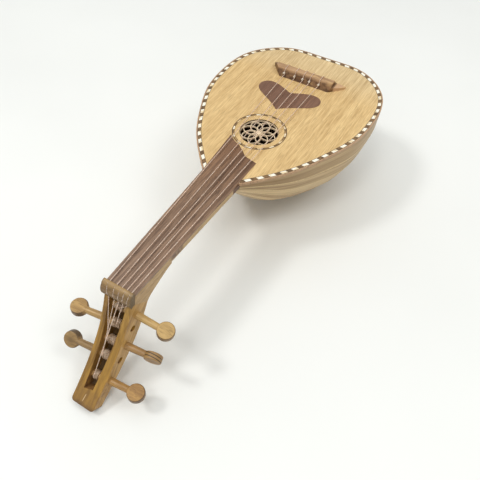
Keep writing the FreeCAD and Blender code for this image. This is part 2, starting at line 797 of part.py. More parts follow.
def peg_axis(index):
    """Point on the axis and the direction of a peg, towards its head, in the box frame."""
    skew = math.radians(PEG_SKEW[index])
    lean = math.radians(PEG_LEAN[index])
    across = PEG_SIDE[index] * math.cos(lean)
    middle = V(PEG_AT[index], 0, front_z(PEG_AT[index]) - PEG_DEEP[index])
    return middle, V(-math.sin(skew) * across, math.cos(skew) * across, math.sin(lean))


def wall_distance(index, inset):
    """Distance from the middle to a cheek's outside along a peg, less an inset."""
    return box_half(PEG_AT[index]) / abs(peg_axis(index)[1].y) - inset


def make_pegbox():
    """Two cheeks, the floor between them and the end block."""
    along, deep = join_depths()
    blank = box_profile(front_z, back_z, along, BOX_L)
    rise = 10 * math.tan(math.radians(BEND))
    under_nut = side_prism([(along - 10, rise - deep), (along, -deep), (0, 0), (0, 30),
                            (along - 10, 30)], 20)
    blank = blank.cut(under_nut)
    outer = box_plan(-5.0, BOX_L + 5.0)
    inner = box_plan(-6.0, BOX_L + 6.0, LEFT_CHEEK_TOP, RIGHT_CHEEK_TOP, CHEEK_GROWTH)
    blank = blank.common(outer)
    corners = [edge for edge in blank.Edges
               if edge.BoundBox.XMin > BOX_L - 0.1 and edge.BoundBox.ZLength > 5]
    blank = blank.makeFillet(2.5, corners)
    sides = blank.cut(inner)
    for index in range(len(PEG_AT)):
        middle, towards = peg_axis(index)
        sides = sides.cut(Part.makeCylinder(PEG_R + PEG_PLAY, 30, middle, towards))
        sides = sides.cut(Part.makeCylinder(PEG_TIP_R + PEG_PLAY, 30, middle, towards * -1))
    left = [solid for solid in sides.Solids if solid.CenterOfMass.y < 0]
    right = [solid for solid in sides.Solids if solid.CenterOfMass.y > 0]
    middle = blank.common(inner)
    well_end = BOX_L - END_L
    tip = prism([(well_end + 0.5 * END_SKEW, -5), (well_end + 0.5 * END_SKEW, -30), (BOX_L + 9, -30),
                 (BOX_L + 9, 30), (well_end - 0.5 * END_SKEW, 30), (well_end - 0.5 * END_SKEW, 4)], -60, 20)
    end_block = middle.common(tip)
    lower = box_profile(back_z, back_z, -8.0, BOX_L, FLOOR_T, -5.0)
    floor = middle.common(lower)
    floor = floor.cut(tip)
    return left[0], right[0], solid_of(floor), solid_of(end_block)


def make_peg(index):
    """Tapered shaft with a flat round head, in the box frame."""
    middle, towards = peg_axis(index)
    tip = wall_distance(index, TIP_INSET)
    step = wall_distance(index, FAR_STEP)
    shoulder = wall_distance(index, -0.5)
    reach = PEG_REACH[index]
    shaft = Part.makeCylinder(PEG_R, shoulder + step, middle - towards * step, towards)
    neck = Part.makeCone(PEG_R, PEG_NECK_R, reach - 0.6 * HEAD_R - shoulder,
                         middle + towards * shoulder, towards)
    end = Part.makeCylinder(PEG_TIP_R, tip, middle - towards * tip, towards)
    turn = math.radians(PEG_TURN[index])
    facing = V(-math.sin(turn), 0, math.cos(turn))
    facing = facing - towards * facing.dot(towards)
    facing.normalize()
    facing = facing + towards * (HEAD_NOD * PEG_SIDE[index])
    facing.normalize()
    centre = middle + towards * reach
    head = Part.makeCylinder(HEAD_R, HEAD_T, centre - facing * (0.5 * HEAD_T), facing)
    rims = [edge for edge in head.Edges if isinstance(edge.Curve, Part.Circle)]
    head = head.makeFillet(0.9, rims)
    return solid_of(fuse_all([shaft, neck, end, head]))


def make_winding(index):
    """Coils of string on a peg, as one smooth barrel round the shaft."""
    middle, towards = peg_axis(index)
    centre = middle + towards * (WIND_Y[index] * PEG_SIDE[index])
    low = centre - towards * WIND_HALF[index]
    barrel = Part.makeCylinder(WIND_R, 2 * WIND_HALF[index], low, towards)
    rims = [edge for edge in barrel.Edges if isinstance(edge.Curve, Part.Circle)]
    barrel = barrel.makeChamfer(0.6, rims)
    return solid_of(barrel.cut(Part.makeCylinder(PEG_R, 40, low - towards * 10, towards)))


# ---- strings ----
STRING_BEND = 1.0          # radius of a string's bends, where its runs leave room


def string_run(points, radius):
    """A round string along straight runs joined by tangent arcs."""
    edges = []
    start = points[0]
    for before, corner, after in zip(points, points[1:], points[2:]):
        back = before - corner
        ahead = after - corner
        turn = math.pi - back.getAngle(ahead)
        room = 0.45 * min(back.Length, ahead.Length)
        reach = min(STRING_BEND * math.tan(0.5 * turn), room)
        bend = reach / math.tan(0.5 * turn)
        back.normalize()
        ahead.normalize()
        middle = back + ahead
        middle.normalize()
        bulge = math.hypot(reach, bend) - bend
        arc_start = corner + back * reach
        arc_end = corner + ahead * reach
        edges.append(Part.makeLine(start, arc_start))
        edges.append(Part.Arc(arc_start, corner + middle * bulge, arc_end).toShape())
        start = arc_end
    edges.append(Part.makeLine(start, points[-1]))
    path = Part.Wire(edges)
    circle = Part.makeCircle(radius, points[0], points[1] - points[0])
    return path.makePipeShell([Part.Wire(circle)], True, False)


def string_end(index):
    """Board-frame point where a string reaches the front of its winding."""
    middle, towards = peg_axis(STRING_PEG[index])
    on_axis = middle + towards * (STRING_Y[index] / towards.y)
    vertex = Part.Vertex(on_axis + V(0, 0, WIND_R + STRING_R + STRING_CLEAR))
    return to_board(vertex).Point


def make_string(index, radius=STRING_R):
    """From its end on the bridge, through the bridge, over the nut and down to its winding."""
    y = BRIDGE_Y[index]
    top_front = BRIDGE_FRONT - BRIDGE_TOP_FRONT
    top_back = top_front - BRIDGE_TOP_W
    loop = [V(BRIDGE_FRONT - 1.6, y, 4.4), V(top_front + 0.3, y, BRIDGE_H + STRING_LIFT),
            V(top_back - 0.4, y, BRIDGE_H + STRING_LIFT), string_behind_bridge(index)]
    return string_run(loop + strings_over_nut(index) + [string_end(index)], radius)


# ---- everything, on the surface it lies on ----
def make_nodes():
    nodes = {}
    nodes["soundboard"] = make_soundboard()
    nodes["edge_binding"] = make_binding()
    nodes["purfling_lines"] = make_purfling_lines()
    nodes["purfling_light_blocks"], nodes["purfling_dark_blocks"] = make_purfling_blocks()
    ring_light, ring_dark, ring_lines = make_rosette_ring()
    nodes["rosette_light_blocks"] = ring_light
    nodes["rosette_dark_blocks"] = ring_dark
    nodes["rosette_lines"] = ring_lines
    nodes["rosette_fretwork"] = make_fretwork()
    nodes["pickguard"] = make_pickguard()
    nodes["bridge"] = make_bridge()
    nodes["fingerboard"] = make_fingerboard()
    nodes["neck"] = make_neck()
    nodes["heel_collar"] = make_heel_collar()
    nodes["nut"] = make_nut()
    ribs, lines = make_ribs()
    for number, rib in enumerate(ribs, 1):
        nodes["rib_%02d" % number] = rib
    nodes["rib_lines"] = lines
    nodes["neck_block"] = make_neck_block()
    nodes["tail_block"] = make_tail_block()
    nodes["tail_cap"] = make_tail_cap()
    nodes["lining_left"] = make_lining(-1)
    nodes["lining_right"] = make_lining(1)
    for number, x in enumerate((-100.0, -50.0, -24.0, 28.0), 1):
        nodes["brace_%d" % number] = make_brace(x)
    pieces = make_pegbox()
    names = ("pegbox_cheek_left", "pegbox_cheek_right", "pegbox_floor", "pegbox_end_block")
    for name, piece in zip(names, pieces):
        nodes[name] = to_board(piece)
    for index in range(len(NUT_Y)):
        nodes["string_%d" % (index + 1)] = make_string(index)
        peg = STRING_PEG[index]
        nodes["winding_%d" % (peg + 1)] = to_board(make_winding(peg))
    for index in range(len(PEG_AT)):
        nodes["peg_%d" % (index + 1)] = to_board(make_peg(index))
    return nodes


def lowest(shape, tilt):
    """Lowest point of a shape once it is tilted."""
    turn = math.radians(tilt)
    points = shape.tessellate(0.05)[0]
    return min(-p.x * math.sin(turn) + p.z * math.cos(turn) for p in points)


def rest_tilt(nodes):
    """Tilt at which the bowl and the pegbox's tip are both on the surface."""
    keel = nodes["rib_%02d" % ((RIB_COUNT + 1) // 2)]
    tip = Part.makeCompound([nodes["pegbox_cheek_left"], nodes["pegbox_end_block"]])
    tilt = 0.0
    for _ in range(6):
        gap = lowest(tip, tilt) - lowest(keel, tilt)
        tilt += math.degrees(gap / 300.0)
    return tilt


def main():
    os.makedirs("parts", exist_ok=True)
    nodes = make_nodes()
    tilt = rest_tilt(nodes)
    for shape in nodes.values():
        shape.rotate(V(0, 0, 0), V(0, 1, 0), tilt)
    points = []
    for shape in nodes.values():
        points.extend(shape.tessellate(0.05)[0])
    shift = V(-0.5 * (min(p.x for p in points) + max(p.x for p in points)),
              -0.5 * (min(p.y for p in points) + max(p.y for p in points)),
              -min(p.z for p in points))
    print("tilt", round(tilt, 4), "shift", shift)
    for name, shape in nodes.items():
        shape.translate(shift)
        shape.exportStep("parts/%s.step" % name)
        print(name, len(shape.Solids), round(shape.Volume, 1), shape.isValid())


main()
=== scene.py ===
import json
import math
import random
import bpy
from mathutils import Matrix, Vector


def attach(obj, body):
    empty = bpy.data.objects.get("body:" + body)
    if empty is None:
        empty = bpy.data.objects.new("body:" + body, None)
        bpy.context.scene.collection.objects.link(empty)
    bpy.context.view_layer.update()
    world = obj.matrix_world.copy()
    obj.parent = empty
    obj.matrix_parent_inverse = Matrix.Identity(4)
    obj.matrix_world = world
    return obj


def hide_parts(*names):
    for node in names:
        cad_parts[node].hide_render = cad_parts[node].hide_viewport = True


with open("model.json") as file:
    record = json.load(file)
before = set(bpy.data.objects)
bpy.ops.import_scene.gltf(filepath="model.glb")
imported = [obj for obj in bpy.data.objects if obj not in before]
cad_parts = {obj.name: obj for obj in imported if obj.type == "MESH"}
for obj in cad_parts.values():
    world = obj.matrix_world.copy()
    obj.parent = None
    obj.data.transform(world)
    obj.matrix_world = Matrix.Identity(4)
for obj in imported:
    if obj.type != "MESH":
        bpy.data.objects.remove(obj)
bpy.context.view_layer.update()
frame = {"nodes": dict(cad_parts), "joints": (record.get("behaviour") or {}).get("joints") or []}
NODES = frame["nodes"]

# The oud is modelled in a board frame (X towards the pegs, Z out of the soundboard, origin at
# the centre of the sound hole), which lies tilted and lifted in the world. Lengths are metres.
TILT = math.radians(2.2251)
BOARD_ORIGIN = Vector((-0.0542296, 0.0, 0.0832900))
BOARD = Matrix.Translation(BOARD_ORIGIN) @ Matrix.Rotation(TILT, 4, "Y")
# box frame: X down the pegbox from the nut, Z out of its open front
BOX_ORIGIN = (0.1841, 0.0, -0.0087)
BOX_BEND = math.radians(47.3)
BOX = BOARD @ Matrix.Translation(BOX_ORIGIN) @ Matrix.Rotation(BOX_BEND, 4, "Y")
# grain that runs along Y, for the bridge and the nut
CROSS = BOARD @ Matrix.Rotation(math.radians(90), 4, "Z")

PEG_COUNT = 5
HEAD_R = 0.0063                 # radius of a peg's round head
RIB_COUNT = 15
PALE_STAVE = 2.0                # the stave, counted from the right rim, that is paler
BOWL_DEEPER = 1.12              # the bowl's depth over its half width
HOLE_R = 0.0161
HOLE_AT = (0.0002, -0.0010)
BRIDGE_FRONT = -0.0774          # foot of the bridge's front, which slopes back as it rises
BRIDGE_Y = (-0.0206, -0.0100, -0.0018, 0.0049, 0.0141)

FINE_BUMP = 0.0001              # depths of the bump maps
WOOD_BUMP = 0.0002


def srgb(r, g, b):
    """Linear colour of 8-bit display values."""
    knee = 0.04045
    return tuple(c / 12.92 if c < knee else ((c + 0.055) / 1.055) ** 2.4
                 for c in (r / 255.0, g / 255.0, b / 255.0))


def shade(color, factor):
    return tuple(channel * factor for channel in color)


# ---- node materials ----
class Nodes:
    """Short calls that build one material's node tree."""

    def __init__(self, name):
        self.mat = bpy.data.materials.new(name)
        self.mat.use_nodes = True
        self.tree = self.mat.node_tree
        self.shader = self.tree.nodes["Principled BSDF"]
        self.coords = self.tree.nodes.new("ShaderNodeTexCoord").outputs["Object"]

    def node(self, kind, inputs=(), **settings):
        made = self.tree.nodes.new(kind)
        for key, value in settings.items():
            setattr(made, key, value)
        for key, value in dict(inputs).items():
            self.feed(made.inputs[key], value)
        return made

    def feed(self, socket, value):
        if isinstance(value, bpy.types.NodeSocket):
            self.tree.links.new(value, socket)
        else:
            socket.default_value = value

    def math(self, operation, a, b=0.0, c=0.0):
        return self.node("ShaderNodeMath", {0: a, 1: b, 2: c}, operation=operation).outputs[0]

    def plus(self, a, b):
        return self.math("ADD", a, b)

    def minus(self, a, b):
        return self.math("SUBTRACT", a, b)

    def times(self, first, *others):
        for other in others:
            first = self.math("MULTIPLY", first, other)
        return first

    def size(self, value):
        return self.math("ABSOLUTE", value)

    def length(self, a, b):
        return self.math("SQRT", self.plus(self.times(a, a), self.times(b, b)))

    def place(self, matrix):
        """Object coordinates seen from a frame, in metres."""
        back = matrix.inverted()
        inputs = {"Vector": self.coords, "Location": back.to_translation(),
                  "Rotation": back.to_euler()}
        return self.node("ShaderNodeMapping", inputs, vector_type="POINT").outputs[0]

    def stretch(self, vector, scale, offset=(0.0, 0.0, 0.0)):
        inputs = {"Vector": vector, "Scale": scale, "Location": offset}
        return self.node("ShaderNodeMapping", inputs).outputs[0]

    def noise(self, vector, detail, rough, warp=0.0):
        inputs = {"Vector": vector, "Scale": 1.0, "Detail": detail, "Roughness": rough,
                  "Distortion": warp}
        return self.node("ShaderNodeTexNoise", inputs).outputs["Fac"]

    def cloud(self, vector, scale, detail, rough, offset=(0.0, 0.0, 0.0)):
        """Noise with the same scale (per metre) each way."""
        return self.noise(self.stretch(vector, (scale,) * 3, offset), detail, rough)

    def ramp(self, value, low, high, start=0.0, end=1.0):
        """The value's low..high mapped onto start..end, clamped."""
        inputs = {"Value": value, "From Min": low, "From Max": high, "To Min": start,
                  "To Max": end}
        return self.node("ShaderNodeMapRange", inputs).outputs["Result"]

    def mix(self, share, a, b):
        """Colour a with this share of b over it."""
        made = self.node("ShaderNodeMix", data_type="RGBA", blend_type="MIX")
        sockets = (made.inputs["Factor"], made.inputs[6], made.inputs[7])
        for socket, value in zip(sockets, (share, a, b)):
            if isinstance(value, tuple):
                value = value + (1.0,)
            self.feed(socket, value)
        return made.outputs[2]

    def split(self, vector):
        return self.node("ShaderNodeSeparateXYZ", {0: vector}).outputs

    def join(self, x, y, z):
        return self.node("ShaderNodeCombineXYZ", {0: x, 1: y, 2: z}).outputs[0]

    def facing(self, direction):
        """How far the surface faces a fixed direction, -1 to 1. Only for what never moves."""
        normal = self.node("ShaderNodeNewGeometry").outputs["Normal"]
        made = self.node("ShaderNodeVectorMath", {0: normal, 1: tuple(direction)},
                         operation="DOT_PRODUCT")
        return made.outputs["Value"]

    def bump(self, height, strength, distance):
        inputs = {"Height": height, "Strength": strength, "Distance": distance}
        return self.node("ShaderNodeBump", inputs).outputs[0]

    def finish(self, color, rough, normal=None, **fixed):
        self.feed(self.shader.inputs["Base Color"], color)
        self.feed(self.shader.inputs["Roughness"], rough)
        if normal is not None:
            self.feed(self.shader.inputs["Normal"], normal)
        for key, value in fixed.items():
            self.shader.inputs[key.replace("_", " ")].default_value = value
        return self.mat


def wood(tree, grain, light, dark, seed=0.0, streak=(70.0, 520.0), contrast=1.0, pore=0.5,
         gloss=0.45, relief=0.35, stain_and_shade=None):
    """Straight-grained wood. grain is a vector in metres whose X runs along the fibres.

    streak is how often the streaks repeat per metre, along the fibres and across them."""
    shift = (seed, seed * 1.7, seed * 0.6)
    along, across = streak

    def layer(longer, wider, detail, rough, warp=0.0):
        """Noise whose pitch is these multiples of the streaks'."""
        scale = (longer * along, wider * across, wider * across)
        return tree.noise(tree.stretch(grain, scale, shift), detail, rough, warp)

    broad = layer(0.07, 0.06, 2.0, 0.5)
    bands = layer(0.12, 0.36, 3.0, 0.55, 0.15)
    streaks = layer(1.0, 1.0, 3.0, 0.6, 0.4)
    fibres = layer(1.6, 3.0, 2.0, 0.6)
    dashes = tree.ramp(layer(1.3, 1.9, 1.0, 0.4), 0.60, 0.68)
    half = 0.22 / contrast
    low, high = 0.5 - half, 0.5 + half
    tone = tree.times(tree.ramp(broad, low, high), 0.25)
    tone = tree.plus(tone, tree.times(tree.ramp(bands, low, high), 0.3))
    tone = tree.plus(tone, tree.times(tree.ramp(streaks, low, high), 0.45))
    color = tree.mix(tone, dark, light)
    color = tree.mix(tree.ramp(fibres, 0.4, 0.75, 0.0, 0.3), color, shade(dark, 0.8))
    color = tree.mix(tree.times(dashes, pore), color, shade(dark, 0.55))
    if stain_and_shade is not None:
        color = stain_and_shade(tree, color, tone)
    rough = tree.ramp(tone, 0.2, 0.8, gloss + 0.1, gloss - 0.06)
    height = tree.minus(tree.times(fibres, 0.5), tree.times(dashes, pore))
    return tree.finish(color, rough, tree.bump(height, relief, WOOD_BUMP))


def simple_wood(name, light, dark, matrix=BOARD, **more):
    tree = Nodes(name)
    return wood(tree, tree.place(matrix), srgb(*light), srgb(*dark), **more)


def rib_material():
    """Staves whose fibres run from tail to neck, each stave with its own tone."""
    tree = Nodes("rib_wood")
    x, y, z = tree.split(tree.place(BOARD))
    deep = tree.times(z, -1.0 / BOWL_DEEPER)
    width = tree.length(y, deep)
    stave = tree.times(tree.math("ARCTAN2", deep, y), RIB_COUNT / math.pi)
    number = tree.math("FLOOR", stave)
    off_middle = tree.minus(tree.minus(stave, number), 0.5)
    across = tree.times(off_middle, tree.times(width, math.pi / RIB_COUNT))
    run = tree.join(x, across, tree.times(number, 0.37))
    own = tree.node("ShaderNodeTexWhiteNoise", {"W": number}, noise_dimensions="1D")
    broad = tree.noise(tree.stretch(run, (9.0, 60.0, 40.0)), 2.0, 0.5)
    figure = tree.noise(tree.stretch(run, (9.0, 330.0, 40.0)), 4.0, 0.6, 0.5)
    fibres = tree.noise(tree.stretch(run, (60.0, 1500.0, 40.0)), 2.0, 0.6)
    tone = tree.plus(tree.times(tree.ramp(figure, 0.36, 0.64), 0.62),
                     tree.times(tree.ramp(broad, 0.34, 0.66), 0.38))
    color = tree.mix(tone, srgb(140, 106, 64), srgb(230, 200, 148))
    color = tree.mix(tree.ramp(own.outputs["Value"], 0.0, 1.0, 0.0, 0.45), color,
                     srgb(168, 136, 92))
    # painted shade on the first stave under the right rim, most of all towards the neck
    first = tree.times(tree.ramp(number, 1.5, 0.5, 0.0, 0.55),
                       tree.ramp(x, -0.02, 0.03, 0.3, 1.0))
    color = tree.mix(first, color, srgb(132, 106, 70))
    pale = tree.math("COMPARE", number, PALE_STAVE, 0.5)
    color = tree.mix(tree.times(pale, 0.4), color, srgb(226, 200, 150))
    color = tree.mix(tree.ramp(fibres, 0.4, 0.75, 0.0, 0.3), color, srgb(120, 88, 56))
    seam = tree.ramp(tree.size(off_middle), 0.47, 0.5, 0.0, 0.35)
    color = tree.mix(seam, color, srgb(110, 78, 48))
    rough = tree.ramp(figure, 0.3, 0.7, 0.5, 0.38)
    return tree.finish(color, rough, tree.bump(tree.plus(fibres, figure), 0.25, WOOD_BUMP))


def block_material(name, base, other, share, seed):
    """Small pieces of bone or wood set in a row, each with a slightly different tone."""
    tree = Nodes(name)
    local = tree.place(BOARD)
    patch = tree.cloud(local, 230.0, 1.0, 0.4, (seed, seed, 0.0))
    fine = tree.noise(tree.stretch(local, (500.0, 1500.0, 1500.0), (seed, 0.0, 0.0)), 3.0, 0.6)
    color = tree.mix(tree.ramp(patch, share - 0.05, share + 0.05), srgb(*base), srgb(*other))
    color = tree.mix(tree.ramp(fine, 0.45, 0.75, 0.0, 0.5), color, shade(srgb(*other), 0.65))
    rough = tree.ramp(fine, 0.3, 0.7, 0.42, 0.55)
    return tree.finish(color, rough, tree.bump(fine, 0.2, FINE_BUMP))


def nylon_material(name, dark, light, clear):
    """Clear monofilament, slightly yellowed and dusty."""
    tree = Nodes(name)
    cloud = tree.cloud(tree.coords, 300.0, 2.0, 0.5)
    color = tree.mix(tree.ramp(cloud, 0.3, 0.7), srgb(*dark), srgb(*light))
    rough = tree.ramp(cloud, 0.3, 0.7, 0.22, 0.34)
    return tree.finish(color, rough, tree.bump(cloud, 0.1, FINE_BUMP),
                       Transmission_Weight=clear)


# ---- stains: what age, dirt and the knife did to each wood, and painted shade and highlight on some ----
def board_stain_and_shade(tree, color, tone):
    """Greyer towards the tail, and painted shade on the inner face of the sound hole."""
    x, y, _ = tree.split(tree.place(BOARD))
    grey = tree.mix(tone, srgb(176, 148, 104), srgb(236, 212, 166))
    color = tree.mix(tree.ramp(x, -0.075, -0.105, 0.0, 0.7), color, grey)
    # painted shade on the inner face of the sound hole
    radius = tree.length(tree.minus(x, HOLE_AT[0]), tree.minus(y, HOLE_AT[1]))
    hole_shade = tree.ramp(radius, HOLE_R + 0.00025, HOLE_R + 0.00005)
    return tree.mix(hole_shade, color, srgb(86, 66, 40))


def bridge_stain(tree, color, tone):
    """Paler cut end, worn pale top, and dark patches low on the front."""
    local = tree.place(BOARD)
    _, y, z = tree.split(local)
    end_from, end_to = 0.0262, 0.0276
    end = tree.times(tree.ramp(y, end_from, end_to), 0.75)
    color = tree.mix(end, color, srgb(206, 166, 128))
    top = tree.mix(tone, srgb(150, 112, 78), srgb(214, 176, 134))
    color = tree.mix(tree.ramp(z, 0.0046, 0.0064, 0.0, 0.6), color, top)
    blotch = tree.noise(tree.stretch(local, (220.0, 120.0, 220.0)), 2.0, 0.5)
    color = tree.mix(tree.ramp(blotch, 0.54, 0.62, 0.0, 0.5), color, srgb(208, 170, 116))
    dark = tree.noise(tree.stretch(local, (160.0, 170.0, 160.0), (4.0, 1.0, 2.0)), 2.0, 0.5)
    low = tree.times(tree.ramp(z, 0.0066, 0.0044), tree.ramp(dark, 0.44, 0.54, 0.35, 1.0),
                     tree.ramp(y, end_to, end_from))
    return tree.mix(low, color, tree.mix(tone, srgb(70, 44, 22), srgb(118, 80, 42)))


def finger_stain(tree, color, tone):
    """Redder on the soundboard, dusty and greyer towards the nut."""
    x, _, _ = tree.split(tree.place(BOARD))
    red = tree.mix(tone, srgb(76, 48, 28), srgb(132, 92, 62))
    color = tree.mix(tree.ramp(x, 0.08, 0.03, 0.0, 0.75), color, red)
    dusty = tree.mix(tone, srgb(112, 90, 76), srgb(174, 148, 128))
    return tree.mix(tree.ramp(x, 0.07, 0.17, 0.0, 0.5), color, dusty)


def neck_stain(tree, color, tone):
    """Dark patch under the fingerboard's edge, near the head."""
    local = tree.place(BOARD)
    x, _, z = tree.split(local)
    cloud = tree.cloud(local, 300.0, 2.0, 0.5)
    patch = tree.times(tree.ramp(x, 0.128, 0.131), tree.ramp(x, 0.143, 0.141),
                       tree.ramp(cloud, 0.35, 0.5, 0.5, 0.95), tree.ramp(z, -0.0058, -0.0046))
    return tree.mix(patch, color, srgb(110, 80, 62))


def pegbox_stain(tree, color, tone):
    """Amber varnish on the front, bare sides, dark walls in the well, grubby tip."""
    local = tree.place(BOX)
    x, y, _ = tree.split(local)
    turn = BOX.to_3x3()
    front = tree.ramp(tree.facing(turn @ Vector((0, 0, 1))), 0.6, 0.8)
    amber = tree.mix(tone, srgb(92, 60, 18), srgb(186, 142, 60))
    amber = tree.mix(tree.ramp(x, 0.066, 0.071, 0.0, 0.45), amber, srgb(122, 90, 50))
    color = tree.mix(front, color, amber)
    outward = tree.times(tree.facing((0.0, 1.0, 0.0)), tree.math("SIGN", y))
    well = tree.mix(tone, srgb(116, 82, 36), srgb(188, 142, 72))
    color = tree.mix(tree.ramp(outward, -0.5, -0.8), color, well)
    end = tree.ramp(tree.facing(turn @ Vector((-1, 0, 0))), 0.6, 0.8)
    color = tree.mix(end, color, tree.mix(tone, srgb(110, 78, 44), srgb(160, 118, 70)))
    cloud = tree.cloud(local, 160.0, 3.0, 0.6)
    grub = tree.plus(x, tree.times(cloud, 0.004))
    color = tree.mix(tree.ramp(grub, 0.0805, 0.0835, 0.0, 0.75), color, srgb(88, 62, 40))
    bruise = tree.times(tree.ramp(x, 0.058, 0.063), tree.ramp(x, 0.078, 0.070),
                        tree.ramp(cloud, 0.42, 0.58),
                        tree.ramp(tree.facing((0.0, 1.0, 0.0)), 0.5, 0.8), 0.75)
    color = tree.mix(bruise, color, srgb(112, 78, 56))
    # a short pale crack in the end block, along the line y = 0.0082 - 0.12 x
    off = tree.size(tree.plus(y, tree.math("MULTIPLY_ADD", x, 0.12, -0.0082)))
    crack = tree.times(tree.ramp(off, 0.0004, 0.0001), tree.ramp(x, 0.0725, 0.0735),
                       tree.ramp(x, 0.0790, 0.0775), 0.7)
    return tree.mix(crack, color, srgb(232, 198, 150))


def floor_stain(tree, color, tone):
    """The bottom of the well is nearly black with age; the back of the pegbox is bare."""
    up = tree.ramp(tree.facing(BOX.to_3x3() @ Vector((0, 0, 1))), 0.2, 0.5)
    return tree.mix(up, color, tree.mix(tone, srgb(60, 42, 22), srgb(120, 90, 48)))


def nut_painted_light(tree, color, tone):
    """Painted highlight along the crown, and painted shade towards the bottom, at both ends and
    most at the +Y end.
    """
    _, y, z = tree.split(tree.place(BOARD))
    # painted highlight along the crown
    color = tree.mix(tree.ramp(z, -0.0012, 0.0018, 0.0, 0.5), color, srgb(190, 156, 104))
    # painted shade towards the bottom
    color = tree.mix(tree.ramp(z, -0.003, -0.0086, 0.0, 0.75), color, srgb(84, 62, 38))
    # painted shade at both ends
    off_middle = tree.size(tree.plus(y, 0.0007))
    color = tree.mix(tree.ramp(off_middle, 0.0112, 0.0121, 0.0, 0.6), color, srgb(84, 66, 46))
    # more painted shade towards the +Y end
    return tree.mix(tree.ramp(y, 0.005, 0.010, 0.0, 0.45), color, srgb(108, 86, 48))


# ---- pegs ----
def peg_axis(number):
    """A point on the peg's joint axis, and the axis."""
    joint = next(j for j in frame["joints"] if j["child"] == "peg_%d" % number)
    return Vector(joint["pos_m"]), Vector(joint["axis"]).normalized()


def reach_along(node, origin, axis):
    """How far each of a node's vertices lies along an axis."""
    return [(vertex.co - origin).dot(axis) for vertex in NODES[node].data.vertices]


def peg_frame(number):
    """Frame at the middle of a peg's head: X out along the peg, Z square to the head's face."""
    origin, axis = peg_axis(number)
    runs = reach_along("peg_%d" % number, origin, axis)
    if abs(min(runs)) > max(runs):
        axis = -axis
        runs = [-run for run in runs]
    centre = origin + axis * (max(runs) - HEAD_R)
    side = axis.cross(Vector((0, 0, 1))).normalized()
    up = side.cross(axis)
    # the main direction, by area, of the head's normals round the axis is its flat faces'
    spread = across = 0.0
    for polygon in NODES["peg_%d" % number].data.polygons:
        if abs((polygon.center - centre).dot(axis)) < HEAD_R:
            a = polygon.normal.dot(side)
            b = polygon.normal.dot(up)
            spread += polygon.area * (a * a - b * b)
            across += polygon.area * 2.0 * a * b
    angle = 0.5 * math.atan2(across, spread)
    face = side * math.cos(angle) + up * math.sin(angle)
    turn = Matrix((axis, face.cross(axis), face)).transposed().to_4x4()
    return Matrix.Translation(centre) @ turn


def peg_material(number, light, dark, rim, eye=None, scored=False):
    """Whittled peg: grain along the shaft, a rim of its own colour, and for some a mark.

    eye is the colour, radius and share of a spot in the middle of the head's face."""
    tree = Nodes("peg_wood_%d" % number)
    local = tree.place(peg_frame(number))

    def stain_and_shade(tree, color, tone):
        x, y, z = tree.split(local)
        radius = tree.length(x, y)
        cloud = tree.cloud(local, 240.0, 3.0, 0.6, (number, 0.0, 0.0))
        edge = tree.plus(radius, tree.times(cloud, 0.0006))
        side = tree.times(tree.ramp(edge, HEAD_R - 0.0003, HEAD_R + 0.0001),
                          tree.ramp(x, -0.0062, -0.0048))
        color = tree.mix(tree.times(side, 0.9), color, srgb(*rim))
        if scored:
            # two lines cut round the rim, 1 mm to each side of its middle
            gap = tree.size(tree.minus(tree.size(z), 0.0010))
            score = tree.times(tree.ramp(gap, 0.00045, 0.0002), side)
            color = tree.mix(score, color, srgb(58, 40, 22))
        if eye:
            eye_color, eye_r, eye_share = eye
            ragged = tree.plus(radius, tree.times(cloud, 0.002))
            spot = tree.ramp(ragged, eye_r, 0.3 * eye_r)
            color = tree.mix(tree.times(spot, eye_share), color, srgb(*eye_color))
        root = tree.ramp(x, -0.0175, -0.0235, 0.0, 0.35)
        return tree.mix(root, color, srgb(196, 158, 110))

    return wood(tree, local, srgb(*light), srgb(*dark), seed=30.0 + number,
                streak=(90.0, 620.0), contrast=1.2, pore=0.4, gloss=0.4, stain_and_shade=stain_and_shade)


# light, dark and rim of each peg, and its mark
PEGS = [dict(light=(208, 174, 112), dark=(150, 116, 64), rim=(106, 78, 44)),
        dict(light=(200, 164, 104), dark=(136, 102, 56), rim=(84, 60, 34)),
        dict(light=(182, 142, 88), dark=(106, 76, 42), rim=(156, 122, 74), scored=True),
        dict(light=(180, 148, 98), dark=(114, 86, 50), rim=(80, 60, 36),
             eye=((112, 88, 56), 0.0050, 0.75)),
        dict(light=(190, 148, 84), dark=(124, 86, 42), rim=(92, 66, 38),
             eye=((84, 54, 34), 0.0016, 0.8))]

